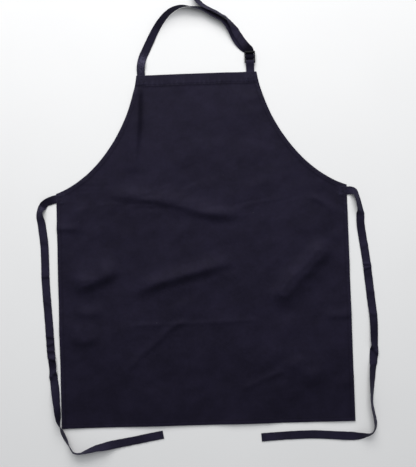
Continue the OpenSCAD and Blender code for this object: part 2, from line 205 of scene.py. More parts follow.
# ------------------------------------------------------------------ materials
class Graph:
    """Short way of writing the nodes of a material with a Principled surface."""
    def __init__(self, name):
        self.material = bpy.data.materials.new(name)
        self.material.use_nodes = True
        self.tree = self.material.node_tree
        self.tree.nodes.clear()
        output = self.node("ShaderNodeOutputMaterial")
        self.shader = self.node("ShaderNodeBsdfPrincipled")
        self.fill(output, {0: self.shader.outputs[0]})

    def fill(self, node, sockets):
        """Links or sets the node's inputs, given by name or number."""
        for key, value in sockets.items():
            if isinstance(value, bpy.types.NodeSocket):
                self.tree.links.new(value, node.inputs[key])
            else:
                node.inputs[key].default_value = value

    def surface(self, sockets):
        self.fill(self.shader, sockets)

    def node(self, kind, sockets=None, **props):
        node = self.tree.nodes.new(kind)
        assign(node, **props)
        self.fill(node, sockets or {})
        return node

    def attribute(self, name, output):
        return self.node("ShaderNodeAttribute", attribute_name=name).outputs[output]

    def object_place(self):
        return self.node("ShaderNodeTexCoord").outputs["Object"]

    def split(self, vector):
        """The X and Y of a vector."""
        return self.node("ShaderNodeSeparateXYZ", {0: vector}).outputs[:2]

    def math(self, operation, a, b=0.0, c=0.0, clamp=False):
        node = self.node("ShaderNodeMath", {0: a, 1: b, 2: c}, operation=operation,
                         use_clamp=clamp)
        return node.outputs[0]

    def add(self, a, b, clamp=False):
        return self.math("ADD", a, b, clamp=clamp)

    def times(self, a, b, clamp=False):
        return self.math("MULTIPLY", a, b, clamp=clamp)

    def linear(self, value, scale, base):
        return self.math("MULTIPLY_ADD", value, scale, base)

    def sine(self, value):
        return self.math("SINE", value)

    def mix(self, factor, a, b):
        node = self.node("ShaderNodeMix", {0: factor, 6: a, 7: b}, data_type="RGBA",
                         blend_type="MIX")
        return node.outputs[2]

    def noise(self, vector, scale, detail=2.0, rough=0.5):
        sockets = {"Vector": vector, "Scale": scale, "Detail": detail, "Roughness": rough}
        return self.node("ShaderNodeTexNoise", sockets).outputs[0]

    def scaled(self, vector, scale):
        return self.node("ShaderNodeMapping", {"Vector": vector, "Scale": scale}).outputs[0]

    def ramp(self, value, low, high):
        """Smooth rise from 0 at low to 1 at high."""
        node = self.node("ShaderNodeMapRange", {0: value, 1: low, 2: high},
                         interpolation_type="SMOOTHSTEP")
        return node.outputs[0]

    def bump(self, height, strength, distance, under=None):
        sockets = {"Strength": strength, "Distance": distance, "Height": height}
        if under is not None:
            sockets["Normal"] = under
        return self.node("ShaderNodeBump", sockets).outputs[0]


# near-black colour of painted shade
PAINTED_SHADE_COLOUR = (0.0008, 0.0007, 0.0014, 1)
LINT = (0.20, 0.20, 0.22, 1)
YARN_WANDER = 0.0012                    # metres that a yarn strays from straight
TWILL_TURN = 0.72                       # frequency of the twill's diagonal against the yarns
LINT_SCALE = (34.0, 34.0, 34.0)         # cells per metre, each with one speck at most


def woven(name, dark, light, worn, pitch, twill, rough, sheen, spec, bump, mottle):
    """Cotton weave laid on the attribute weave (metres across and along the cloth).

    Above zero the second attribute is rubbing, with painted highlights in places; below zero it
    is painted shade.
    """
    g = Graph(name)
    place = g.attribute("weave", "Vector")
    wear_and_painted_light = g.attribute("wear_and_painted_light", "Fac")
    x, y = g.split(place)
    # yarns
    x = g.add(x, g.times(g.noise(place, scale=55.0), YARN_WANDER))
    y = g.add(y, g.times(g.noise(place, scale=48.0), YARN_WANDER))
    turn = 2 * math.pi / pitch
    warp = g.sine(g.times(x, turn))
    weft = g.sine(g.times(y, turn))
    weave = g.times(warp, weft)
    if twill:
        diagonal = g.sine(g.times(g.add(x, y), turn * TWILL_TURN))
        weave = g.add(g.times(diagonal, 0.6), g.times(weave, 0.4))
    weave = g.linear(weave, scale=0.5, base=0.5)
    slub_x = g.noise(g.scaled(place, (60.0, 1500.0, 1.0)), scale=1.0)
    slub_y = g.noise(g.scaled(place, (1500.0, 60.0, 1.0)), scale=1.0)
    slub = g.add(slub_x, slub_y)
    # tone: broad fading, patches, fine mottle, weave and slubs, each with its share
    fade = g.noise(place, scale=7.0, detail=4.0, rough=0.6)
    patch = g.noise(place, scale=28.0, detail=3.0, rough=0.6)
    tone = g.add(g.times(g.ramp(fade, low=0.3, high=0.7), 0.34 * mottle),
                 g.times(g.ramp(patch, low=0.3, high=0.75), 0.20 * mottle))
    fine = g.noise(place, scale=130.0, detail=3.0, rough=0.65)
    tone = g.add(tone, g.times(g.ramp(fine, low=0.34, high=0.66), 0.18))
    tone = g.add(tone, g.times(weave, 0.22))
    tone = g.add(tone, g.times(g.math("SUBTRACT", slub, 0.7), 0.35), clamp=True)
    colour = g.mix(tone, dark, light)
    # rubbed places, some of them painted highlights, then painted shade
    grain = g.noise(place, scale=240.0, detail=4.0, rough=0.7)
    rub = g.times(wear_and_painted_light, g.ramp(grain, low=0.38, high=0.72), clamp=True)
    colour = g.mix(rub, colour, worn)
    # painted shade: below zero the attribute darkens the colour and dulls the specular and the
    # sheen
    painted_shade = g.times(wear_and_painted_light, -1.0, clamp=True)
    colour = g.mix(painted_shade, colour, PAINTED_SHADE_COLOUR)
    # sparse lint caught on the nap
    cells = g.node("ShaderNodeTexVoronoi", {
        "Vector": g.scaled(place, LINT_SCALE), "Scale": 1.0, "Randomness": 1.0}, feature="F1")
    speck = g.math("LESS_THAN", cells.outputs["Distance"], 0.022)
    few = g.math("GREATER_THAN", g.noise(place, scale=19.0, detail=1.0), 0.6)
    colour = g.mix(g.times(g.times(speck, few), 0.35), colour, LINT)
    g.surface({
        "Base Color": colour,
        "Roughness": g.linear(slub_x, scale=0.10, base=rough - 0.05),
        "Specular IOR Level": g.linear(painted_shade, scale=-0.85 * spec, base=spec),
        "Specular Tint": (0.80, 0.75, 1.0, 1),
        "Sheen Weight": g.linear(painted_shade, scale=-0.9 * sheen, base=sheen),
        "Sheen Roughness": 0.55,
        "Sheen Tint": (0.55, 0.56, 0.85, 1),
    })
    # relief: the yarns, then soft unevenness
    height = g.add(g.times(weave, 0.6), g.times(slub, 0.25))
    yarns = g.bump(height, strength=bump, distance=0.00022)
    uneven = g.noise(place, scale=70.0, detail=3.0, rough=0.55)
    g.surface({"Normal": g.bump(uneven, strength=0.35, distance=0.0012, under=yarns)})
    return g.material


def sewing_thread():
    """Twisted thread; weave holds the angle round it and the metres along it."""
    ply_pitch = 0.0007
    g = Graph("sewing_thread")
    place = g.attribute("weave", "Vector")
    around, along = g.split(place)
    twist = g.add(g.times(along, 2 * math.pi / ply_pitch), g.times(around, 1.0))
    ply = g.linear(g.sine(twist), scale=0.5, base=0.5)
    grain = g.noise(place, scale=180.0, detail=3.0, rough=0.6)
    tone = g.add(g.times(ply, 0.5), g.times(grain, 0.5), clamp=True)
    g.surface({
        "Base Color": g.mix(tone, (0.0042, 0.0034, 0.0095, 1), (0.0105, 0.0088, 0.0215, 1)),
        "Roughness": g.linear(grain, scale=0.2, base=0.45),
        "Specular IOR Level": 0.12,
        "Sheen Weight": 0.02,
        "Normal": g.bump(ply, strength=0.5, distance=0.00008),
    })
    return g.material


def moulded_plastic():
    """Black plastic with a fine grain and paler rubbed edges."""
    g = Graph("moulded_black_plastic")
    place = g.object_place()
    grain = g.noise(place, scale=2600.0, detail=3.0, rough=0.6)
    rub = g.noise(place, scale=420.0, detail=4.0, rough=0.7)
    pointed = g.node("ShaderNodeNewGeometry").outputs["Pointiness"]
    edge = g.ramp(pointed, low=0.52, high=0.60)
    worn = g.times(edge, g.ramp(rub, low=0.35, high=0.7))
    colour = g.mix(g.times(rub, 0.6), (0.0018, 0.0018, 0.0022, 1), (0.0042, 0.0042, 0.0056, 1))
    g.surface({
        "Base Color": g.mix(g.times(worn, 0.35), colour, (0.030, 0.030, 0.036, 1)),
        "Roughness": g.linear(rub, scale=0.22, base=0.42),
        "Specular IOR Level": 0.11,
        "Normal": g.bump(grain, strength=0.25, distance=0.00005),
    })
    return g.material


CLOTH_MAT = woven(
    "navy_cotton_drill", dark=(0.0032, 0.0024, 0.0073, 1), light=(0.0104, 0.0085, 0.0210, 1),
    worn=(0.042, 0.040, 0.070, 1), pitch=0.00085, twill=True, rough=0.70, sheen=0.04,
    spec=0.16, bump=0.35, mottle=1.15)
TAPE_MAT = woven(
    "navy_cotton_tape", dark=(0.0034, 0.0026, 0.0080, 1), light=(0.0122, 0.0100, 0.0258, 1),
    worn=(0.044, 0.041, 0.070, 1), pitch=0.00075, twill=False, rough=0.72, sheen=0.06,
    spec=0.18, bump=0.5, mottle=1.5)
THREAD_MAT = sewing_thread()
PLASTIC_MAT = moulded_plastic()


# ------------------------------------------------------------------ the sheet's armhole curve
def armhole(t):
    """Bezier curve from the bib's top corner to the skirt's top corner, on the +X side."""
    t = np.asarray(t, float)[..., None]
    corners = (BIB_HALF_W, BIB), (164, 174), (246, 38), (HALF_W, 0)
    top, pull_top, pull_low, low = (np.array(point, float) for point in corners)
    return ((1 - t) ** 3 * top + 3 * (1 - t) ** 2 * t * pull_top
            + 3 * (1 - t) * t * t * pull_low + t ** 3 * low)


ARM = armhole(np.linspace(0, 1, 1201))
ARM_RUN = run_along(ARM)
ARM_LEN = ARM_RUN[-1]


def arm_at(run):
    return columns_at(run, ARM_RUN, ARM)


def arm_normal(run):
    """Unit vector square to the armhole, pointing into the cloth."""
    ahead = arm_at(np.minimum(ARM_LEN, run + 1.0)) - arm_at(np.maximum(0, run - 1.0))
    ahead /= np.linalg.norm(ahead, axis=-1, keepdims=True)
    return np.stack([ahead[..., 1], -ahead[..., 0]], -1)


# ------------------------------------------------------------------ rows and columns
# distances in from the edge: columns of a side hem, rows of the top hem, rows of the bottom
HEM_COLS = [0.0, 0.18, 0.55, 1.2, 3.2, 5.4, 7.1, SEAM_IN, 8.9, 9.7, 10.3, 12.6, 16.0]
TOP_ROWS = [0.0, 0.18, 0.55, 1.2, 3.5, 6.5, 10, 13.5, 17, 20.5, 23.3, 24.4, TOP_SEAM, 26.1,
            26.8, 27.4, 30]
BOTTOM_ROWS = [10.5, 9.9, 9.2, BOTTOM_SEAM, 7.6, 5.4, 3.2, 1.2, 0.55, 0.18, 0.0]
ARM_STEP = 3.5
WAIST_ROWS, WAIST_STEP = 17, 3.0        # closer rows just under the waistline
SKIRT_ROWS = 136
INNER_COLS = 132


def edge_rows():
    """Edge point and inward direction of each row, and how many rows start on the armhole."""
    runs = [float(np.interp(BIB - d, ARM[::-1, 1], ARM_RUN[::-1])) for d in TOP_ROWS]
    start = runs[-1]
    count = int(round((ARM_LEN - start) / ARM_STEP))
    runs += [start + (ARM_LEN - start) * k / count for k in range(1, count + 1)]
    points, inward = [], []
    for run in runs:
        normal = arm_normal(run)
        # rows lie level under the top edge
        normal = np.array([normal[0], normal[1] * smooth((run - 28) / 60)])
        points.append(arm_at(run))
        inward.append(normal / np.linalg.norm(normal))

    waist_end = WAIST_ROWS * WAIST_STEP
    levels = list(-np.arange(1, WAIST_ROWS + 1) * WAIST_STEP)
    levels += list(-waist_end - (SKIRT - waist_end - 12) * np.arange(1, SKIRT_ROWS + 1)
                   / SKIRT_ROWS)
    levels += [-(SKIRT - d) for d in BOTTOM_ROWS]
    end_normal = arm_normal(ARM_LEN)
    end_angle = math.atan2(end_normal[1], end_normal[0])
    for level in levels:
        slope = math.sin(end_angle) * (1 - float(smooth(-level / 52)))
        points.append(np.array([HALF_W, level]))
        inward.append(np.array([-math.sqrt(1 - slope * slope), slope]))
    return np.array(points), np.array(inward), len(runs)


EDGE, INWARD, ARM_ROWS = edge_rows()
right_hem = EDGE[:, None, :] + np.array(HEM_COLS)[None, :, None] * INWARD[:, None, :]
left_hem = right_hem * np.array([-1, 1])
inner_edge = right_hem[:, -1]
spread = np.linspace(-1, 1, INNER_COLS + 2)[1:-1]
middle = np.stack([inner_edge[:, None, 0] * spread[None, :],
                   np.repeat(inner_edge[:, None, 1], INNER_COLS, 1)], -1)
GRID = np.concatenate([left_hem, middle, right_hem[:, ::-1]], 1)
GRID[..., 0] += LEAN * np.maximum(0, GRID[..., 1]) / BIB
x, y = GRID[..., 0], GRID[..., 1]
ROWS, COLS = x.shape
SEAM_LEFT = HEM_COLS.index(SEAM_IN)
SEAM_RIGHT = COLS - 1 - SEAM_LEFT
SEAM_TOP = TOP_ROWS.index(TOP_SEAM)
SEAM_BOTTOM = ROWS - len(BOTTOM_ROWS) + BOTTOM_ROWS.index(BOTTOM_SEAM)


def edge_distance(points):
    """Distance of each point from the +X edge, and the run along the edge to its foot."""
    side = [[HALF_W, -SKIRT * part] for part in (0.25, 0.5, 0.75, 1.0)]
    edge = np.concatenate([ARM[::12], side])
    best = np.full(len(points), 1e9)
    run = np.zeros(len(points))
    total = 0.0
    for start, end in zip(edge[:-1], edge[1:]):
        leg = end - start
        length = np.linalg.norm(leg)
        part = np.clip(((points - start) @ leg) / (length * length), 0, 1)
        distance = np.linalg.norm(points - start - part[:, None] * leg, axis=1)
        hit = distance < best
        best[hit] = distance[hit]
        run[hit] = total + part[hit] * length
        total += length
    return best, run


upright_x = x - LEAN * np.maximum(0, y) / BIB
FROM_SIDE, SIDE_RUN = (values.reshape(ROWS, COLS) for values in edge_distance(
    np.stack([np.abs(upright_x).ravel(), y.ravel()], 1)))
FROM_TOP, FROM_BOTTOM = BIB - y, y + SKIRT
SIDE_HEM_W = ARM_HEM + (SIDE_HEM - ARM_HEM) * smooth(-y / 30)

# ------------------------------------------------------------------ folds and creases
# points of the line; height; half width to the left and to the right of the line's run;
# share of its length over which each end dies away
RIDGES = [
    ([(-256, 1), (-219, -5), (-175, -14), (-121, -22), (-65, -32), (-16, -49), (21, -61),
      (70, -66), (125, -60)], 6.2, 22, 13, 0.25),
    ([(-187, -259), (-162, -247), (-132, -233), (-95, -221), (-58, -212), (-8, -199),
      (41, -188), (100, -182)], 6.6, 24, 13, 0.33),
    ([(-330, -248), (-292, -224), (-255, -213), (-222, -197), (-195, -188)], 8.2, 38, 16, 0.33),
    ([(165, -298), (210, -242), (246, -207), (282, -168), (312, -130)], 10.0, 22, 26, 0.25),
    ([(-197, -447), (-179, -426), (-162, -407), (-137, -387), (-116, -371), (-91, -345),
      (-61, -328), (-32, -322)], 2.3, 8, 5, 0.16),
    ([(-194, -330), (-24, -329), (142, -325)], 0.9, 5, 3.5, 0.1),
    ([(80, -496), (137, -470), (194, -448)], 1.7, 7, 5, 0.16),
    ([(286, -322), (318, -320), (370, -318)], 2.0, 16, 7, 0.3),
    ([(-372, -88), (-340, -88), (-301, -90)], 2.0, 10, 6, 0.3),
    ([(180, -415), (240, -448), (300, -485)], 5.0, 34, 30, 0.35),
    ([(-342, -350), (-296, -360), (-254, -350)], 4.0, 30, 17, 0.35),
    ([(-322, -292), (-277, -298), (-237, -288)], 2.6, 16, 11, 0.35),
    ([(258, -18), (303, -44), (347, -68)], 2.4, 10, 9, 0.35),
    ([(-286, -13), (-300, -54), (-304, -111)], 3.2, 10, 24, 0.35),
    ([(-168, 164), (-176, 53), (-182, -75)], 0.7, 3.5, 4, 0.2),
]
RIDGE_GAIN = 1.35
# drawn by the pull of the neck strap, down from its sewn corner
PLEAT = [(-147.5, 261), (-149, 230), (-151, 176), (-158, 102), (-164, 40)]


def ridge_field(x, y, points, height, left, right, taper):
    points = np.array(points, float)
    lengths = np.linalg.norm(np.diff(points, axis=0), axis=1)
    total, run = lengths.sum(), 0.0
    places = np.stack([x.ravel(), y.ravel()], 1)
    best = np.full(len(places), 1e9)
    side, along = np.zeros(len(places)), np.zeros(len(places))
    for start, end, length in zip(points[:-1], points[1:], lengths):
        ahead = (end - start) / length
        part = np.clip((places - start) @ ahead, 0, length)
        distance = np.linalg.norm(places - start - part[:, None] * ahead, axis=1)
        turn = ahead[0] * (places[:, 1] - start[1]) - ahead[1] * (places[:, 0] - start[0])
        hit = distance < best
        best[hit], side[hit], along[hit] = distance[hit], turn[hit], run + part[hit]
        run += length
    width = np.where(side > 0, left, right)
    ends = smooth(along / (taper * total)) * smooth((total - along) / (taper * total))
    return (height * ends * np.exp(-(best / width) ** 2)).reshape(x.shape)


def wrinkles(x, y):
    """The ridges, and noise of three sizes drawn out along a slanting direction."""
    z = np.zeros(x.shape)
    for ridge in RIDGES:
        z += RIDGE_GAIN * ridge_field(x, y, *ridge)
    big = PlaneNoise(5, step=110.0)
    medium = PlaneNoise(9, step=44.0)
    small = PlaneNoise(13, step=21.0)
    slant_x, slant_y = 0.94 * x + 0.34 * y, -0.34 * x + 0.94 * y
    z += (2.4 * np.clip(big(x, y) + 0.3, 0, 2)
          + 2.0 * np.clip(medium(slant_x * 0.6, slant_y) + 0.2, 0, 2)
          + 0.60 * (small(slant_x * 0.7, slant_y) + 0.6))
    return z


def anchors_mask(x, y):
    """0 where a strap or tie is sewn on, 1 away from it."""
    mask = np.ones(x.shape)
    for anchor_x, anchor_y in ((NECK_X + LEAN, BIB - 8), (BUCKLE_X, BIB - 8),
                               (-HALF_W + 8, LEFT_Y), (HALF_W - 8, RIGHT_Y)):
        mask *= smooth((np.hypot(x - anchor_x, y - anchor_y) - 18) / 45)
    return mask


# ------------------------------------------------------------------ hems, pads and puckers
def hem_height(distance, width, reach=26.0):
    """1 on the folded hem, a step down at its inner edge, then an easy slope to 0."""
    step, slope = smooth((distance - width) / 2.2), smooth((distance - width) / reach)
    return 1 - 0.68 * step - 0.32 * slope


hem = np.maximum.reduce([hem_height(FROM_SIDE, SIDE_HEM_W),
                         hem_height(FROM_TOP, TOP_HEM, reach=30.0),
                         hem_height(FROM_BOTTOM, BOTTOM_HEM)])
in_hem = ((FROM_SIDE < SIDE_HEM_W + 0.01) | (FROM_TOP < TOP_HEM + 0.01)
          | (FROM_BOTTOM < BOTTOM_HEM - 0.05))


def slab(offset, half, soft):
    return 1 - smooth((np.abs(offset) - half) / soft)


# raised cloth over the sewn tape ends: height, then offset, half width and soft border
# across the apron, and the same up it
PADS = (
    (0.8, (x - NECK_X, 10.5, 3.5), (FROM_TOP - 10, 12.5, 3.5)),
    (1.8, (x - BUCKLE_X, 9.0, 8.0), (FROM_TOP - 8, 9.0, 13.0)),
    (0.8, (x + HALF_W - 8, 13.5, 3.5), (y - LEFT_Y, 10.5, 3.0)),
    (0.8, (x - HALF_W + 8, 13.5, 3.5), (y - RIGHT_Y, 10.5, 3.0)),
)
pad = np.maximum.reduce([high * slab(*across) * slab(*up) for high, across, up in PADS])


def hem_pucker(run, distance, seed, height=0.42):
    """Ripples drawn up by a row of stitches along a narrow hem."""
    width, pitch = 10.0, 11.0
    wander, rough = LineNoise(seed, step=23.0), LineNoise(seed + 1, step=9.0)
    swell = LineNoise(seed + 2, step=61.0)
    phase = run / pitch * 2 * math.pi + 2.2 * wander(run) + 0.16 * distance
    near = np.exp(-((distance - width * 0.72) / (width * 0.95)) ** 2)
    return (height * near * (0.55 + 0.45 * swell(run))
            * (0.6 * np.sin(phase) + 0.5 * rough(run + distance * 0.4)))


def top_pucker():
    height, pitch = 0.62, 13.0
    wander, rough = LineNoise(51, step=26.0), LineNoise(52, step=11.0)
    near = np.exp(-((FROM_TOP - 25) / 9.0) ** 2)
    return height * near * (0.5 * np.sin(x / pitch * 2 * math.pi + 2.0 * wander(x))
                            + 0.6 * rough(x + FROM_TOP * 0.5))


pucker = np.where(np.sign(upright_x) < 0, hem_pucker(SIDE_RUN, FROM_SIDE, seed=21),
                  hem_pucker(SIDE_RUN, FROM_SIDE, seed=31))
pucker = pucker * smooth(FROM_TOP / 30)
pucker += hem_pucker(x, FROM_BOTTOM, seed=41, height=0.40)
pucker += top_pucker()


def dimple(distance, centre, width=0.9):
    return np.exp(-((distance - centre) / width) ** 2)


seam = np.maximum.reduce([dimple(FROM_SIDE, SEAM_IN) * (FROM_TOP > 20),
                          1.5 * dimple(FROM_TOP, TOP_SEAM, 1.1),
                          dimple(FROM_BOTTOM, BOTTOM_SEAM)])


def edge_round(distance, radius=1.0):
    inside = np.clip(radius - distance, 0, radius) / radius
    return np.sqrt(np.clip(1 - inside ** 2, 0, 1))


def panel_heights(fold):
    """Top and bottom face heights for a sheet lifted by fold."""
    top = CLOTH + (HEM - CLOTH) * hem + pad + pucker * 0.9 - 0.36 * seam + fold
    top = np.maximum(top, CLOTH)
    bottom = np.where(in_hem, np.maximum(0.0, fold + 0.35 * pucker), top - CLOTH)
    bottom = np.minimum(np.maximum(bottom, 0.0), top - CLOTH)
    rim = edge_round(FROM_SIDE) * edge_round(FROM_TOP) * edge_round(FROM_BOTTOM)
    centre = (top + bottom) / 2
    half = (top - bottom) / 2 * rim
    return centre + half, centre - half


# ------------------------------------------------------------------ cloth simulation
def add_table():
    mesh = bpy.data.meshes.new("sheet_table")
    mesh.from_pydata([(-1, -1, 0), (1, -1, 0), (1, 1, 0), (-1, 1, 0)], [], [(0, 1, 2, 3)])
    table = add_object("sheet_table", mesh)
    table.modifiers.new("hit", "COLLISION")
    assign(table.collision, thickness_outer=0.001, cloth_friction=30)
    return table


def settle(fold):
    """Lets a coarse single sheet, lifted by fold, fall onto a table.

    Returns the settled height over the whole grid.
    """
    last_frame = 16
    gain, clearance = 1.25, 1.6         # start height: fold * gain + clearance
    hem_count = len(HEM_COLS)
    row_ids = np.unique(np.concatenate([np.arange(0, ROWS, 2), [ROWS - 1]]))
    col_ids = np.unique(np.concatenate([
        [0, hem_count - 4], np.arange(hem_count, COLS - hem_count, 2),
        [COLS - hem_count + 3, COLS - 1]]))
    coarse_x, coarse_y, coarse_z = (values[np.ix_(row_ids, col_ids)] for values in (x, y, fold))
    rows, cols = coarse_x.shape
    start = np.stack([coarse_x, coarse_y, coarse_z * gain + clearance], -1).reshape(-1, 3)
    mesh = bpy.data.meshes.new("sheet")
    faces = quads(np.arange(rows * cols).reshape(rows, cols))
    mesh.from_pydata((start / 1000).tolist(), [], faces.tolist())
    sheet = add_object("sheet", mesh)
    table = add_table()
    cloth = sheet.modifiers.new("cloth", "CLOTH")
    assign(cloth.settings, quality=5, mass=0.15, air_damping=2.0, compression_stiffness=30,
           tension_stiffness=30, shear_stiffness=12, bending_stiffness=2.0,
           compression_damping=15, tension_damping=15, shrink_min=-0.003)
    assign(cloth.collision_settings, use_collision=True, distance_min=0.001,
           collision_quality=2, use_self_collision=False)
    assign(cloth.point_cache, frame_start=1, frame_end=last_frame)
    for frame in range(1, last_frame + 1):
        scene.frame_set(frame)
    fallen = sheet.evaluated_get(bpy.context.evaluated_depsgraph_get())
    places = np.zeros(rows * cols * 3)
    fallen.data.vertices.foreach_get("co", places)
    height = (places.reshape(rows, cols, 3) * 1000)[..., 2]
    bpy.data.objects.remove(sheet)
    bpy.data.objects.remove(table)
    scene.frame_set(1)
    height = height - np.percentile(height, 2)
    # spread the coarse heights over the fine grid, then soften them
    tall = np.stack([np.interp(np.arange(ROWS), row_ids, height[:, k]) for k in range(cols)], 1)
    out = np.stack([np.interp(np.arange(COLS), col_ids, tall[k]) for k in range(ROWS)], 0)
    for _ in range(5):
        out[:, 1:-1] = out[:, :-2] * 0.25 + out[:, 1:-1] * 0.5 + out[:, 2:] * 0.25
        out[1:-1] = out[:-2] * 0.25 + out[1:-1] * 0.5 + out[2:] * 0.25
    return out


MAX_FOLD = 14
mask = anchors_mask(x, y)
fold = wrinkles(x, y) * mask
fold = np.clip(0.72 * fold + 0.85 * settle(fold), 0, MAX_FOLD) * mask
pleat = ridge_field(x, y, PLEAT, height=6.8, left=9, right=24, taper=0.10)
pleat = pleat * (1 - 0.55 * smooth((170 - y) / 110))
top_z, bottom_z = panel_heights(np.clip(fold + pleat, 0, MAX_FOLD))


# ------------------------------------------------------------------ the apron's cloth
def cloth_wear_and_shade():
    """Rubbing and painted shade of the top face: rubbed edges and ripples; painted shade beside
    the pleat, along the inner edge of each hem and growing towards the bottom.
    """
    from_edge = np.minimum(np.minimum(FROM_SIDE, FROM_TOP), FROM_BOTTOM)
    rubbed = (0.75 * np.exp(-from_edge / 0.9) + 0.30 * np.clip(pucker / 0.35, 0, 1) * in_hem
              + 0.25 * (pad > 0.3) * (pad < 1.9))
    # painted shade on the steep side of the neck strap's pleat
    rising = np.array(PLEAT, float)[::-1]
    pleat_x = np.interp(y, rising[:, 1], rising[:, 0])
    painted_cloth_shade = (0.40 * np.exp(-((x - pleat_x - 7.5) / 8.0) ** 2) * smooth((262 - y) / 14)
             * smooth((y - 60) / 120))
    # painted shade along the step at the inner edge of each hem
    painted_cloth_shade += (0.36 * dimple(FROM_TOP, 27.6, 1.7)
              + 0.22 * dimple(FROM_SIDE, 10.8, 1.3) * (FROM_TOP > 24)
              + 0.25 * dimple(FROM_BOTTOM, 11.2, 1.3))
    # painted shade, darker towards the bottom of the skirt, where the light falls off
    painted_cloth_shade += 0.14 * smooth((-y - 300) / 220)
    return rubbed - np.clip(painted_cloth_shade, 0, 0.8)


# the two faces share the vertices of the border
inside = np.ones((ROWS, COLS), bool)
inside[0], inside[-1], inside[:, 0], inside[:, -1] = False, False, False, False
top_index = np.arange(ROWS * COLS).reshape(ROWS, COLS)
bottom_index = top_index.copy()
bottom_index[inside] = ROWS * COLS + np.arange(inside.sum())
TOP_FACE = np.stack([x, y, top_z], -1)
verts = np.concatenate([TOP_FACE.reshape(-1, 3), np.stack([x, y, bottom_z], -1)[inside]])
faces = np.concatenate([quads(top_index), quads(bottom_index)[:, [0, 3, 2, 1]]]).tolist()
weave = np.concatenate([np.stack([x, y, 0 * x], -1).reshape(-1, 3),
                        np.stack([x, y, 0 * x + 50], -1)[inside]]) / 1000
top_wear_and_shade = cloth_wear_and_shade()
wear_and_painted_light = np.concatenate([top_wear_and_shade.ravel(), np.maximum(top_wear_and_shade[inside], 0)])
panel = make("apron_cloth", verts, faces, CLOTH_MAT,
             {"weave": weave, "wear_and_painted_light": np.clip(wear_and_painted_light, -1, 1)})
stand_for(panel, "cloth", "skirt_panel", "bib_panel")
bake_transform(panel)
cloth_tree = BVHTree.FromPolygons([Vector(v) for v in verts], faces)

# ------------------------------------------------------------------ threads
# one stitch: share of its pitch, and height over the cloth
STITCH_PHASE = np.array([0.0, 0.14, 0.5, 0.86])
STITCH_LIFT = np.array([-0.55, 0.02, 0.20, 0.02])


def stitch_path(points, normals, pitch):
    """A thread that rises over the cloth for each stitch and dips into it between two."""
    points, normals = np.asarray(points, float), np.asarray(normals, float)
    run = run_along(points)
    count = max(1, int(run[-1] / pitch))
    step = run[-1] / count
    places = (np.arange(count)[:, None] + STITCH_PHASE[None, :]).ravel() * step
    places = np.append(places, run[-1])
    lift = np.append(np.tile(STITCH_LIFT, count), STITCH_LIFT[0])
    normal = unit_rows(columns_at(places, run, normals))
    return columns_at(places, run, points) + normal * lift[:, None], normal, places


def tube(path, normal, run, sides=5):
    """Vertices, faces, weave and run of a thread of round section."""
    count = len(path)
    ahead = unit_rows(np.gradient(path, axis=0))
    side = unit_rows(np.cross(ahead, normal))
    up = np.cross(side, ahead)
    angle = np.arange(sides) * 2 * math.pi / sides + math.pi / 2
    ring = path[:, None] + THREAD_R * (np.cos(angle)[None, :, None] * side[:, None]
                                       + np.sin(angle)[None, :, None] * up[:, None])
    faces = wall(count, sides)
    faces.append(list(range(sides))[::-1])
    faces.append([(count - 1) * sides + k for k in range(sides)])
    vert_run = np.repeat(run, sides)
    weave = np.stack([np.tile(angle, count), vert_run, np.zeros(count * sides)], 1)
    weave[:, 1:] /= 1000
    return ring.reshape(-1, 3), faces, weave, vert_run


def threads(name, paths, node, pitch=3.0):
    """One object of several rows of stitches, from (points, normals) paths.

    Returns it with each vertex's run along its own row.
    """
    tubes = [tube(*stitch_path(points, normals, pitch)) for points, normals in paths]
    verts, faces = joined([parts[:2] for parts in tubes])
    weave = np.concatenate([parts[2] for parts in tubes])
    ob = make(name, verts, faces, THREAD_MAT, {"weave": weave})
    stand_for(ob, "thread", node)
    return ob, np.concatenate([parts[3] for parts in tubes])


def facing_up(points):
    return points, np.tile([0.0, 0.0, 1.0], (len(points), 1))


left_start = nearest(EDGE[:, 1], LEFT_Y - 15)
right_start = nearest(EDGE[:, 1], RIGHT_Y - 15)
# object and node endings, the seam's rows and columns in the grid, body
for name, node, place, body in (
    ("top_hem", "top_hem", (SEAM_TOP, slice(SEAM_LEFT, SEAM_RIGHT + 1)), "bib"),
    ("bottom_hem", "bottom_hem", (SEAM_BOTTOM, slice(2, COLS - 2)), "skirt"),
    ("left_side", "left_side_hem", (slice(left_start, SEAM_BOTTOM + 1), SEAM_LEFT), "skirt"),
    ("right_side", "right_side_hem", (slice(right_start, SEAM_BOTTOM + 1), SEAM_RIGHT), "skirt"),
):
    ob, _ = threads(f"stitches_{name}", [facing_up(TOP_FACE[place])], f"thread_{node}")
    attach(ob, body)
for side, column in (("left", SEAM_LEFT), ("right", SEAM_RIGHT)):
    points = TOP_FACE[SEAM_TOP + 2:ARM_ROWS - 3, column]
    ob, _ = threads(f"stitches_{side}_armhole", [facing_up(points)], f"thread_{side}_armhole")
    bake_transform(ob)


def on_cloth(point):
    hit = cloth_tree.ray_cast(Vector((*point, 60)), Vector((0, 0, -1)))[0]
    # a point that misses the cloth is given the height of a hem
    return hit[2] if hit is not None else HEM


def leg(start, end, count):
    return [(start[0] + (end[0] - start[0]) * k, start[1] + (end[1] - start[1]) * k)
            for k in np.linspace(0, 1, count)]


def laid(points):
    return facing_up(np.array([(*point, on_cloth(point)) for point in points]))


def crossed_box(x_low, y_low, x_high, y_high):
    """A stitched box and its two diagonals."""
    corners = [(x_low, y_low), (x_high, y_low), (x_high, y_high), (x_low, y_high)]
    box = []
    for start, end in zip(corners, corners[1:] + corners[:1]):
        box += leg(start, end, 12)[:-1]
    box.append(box[0])
    return [laid(box), laid(leg(corners[0], corners[2], 14)),
            laid(leg(corners[3], corners[1], 14))]


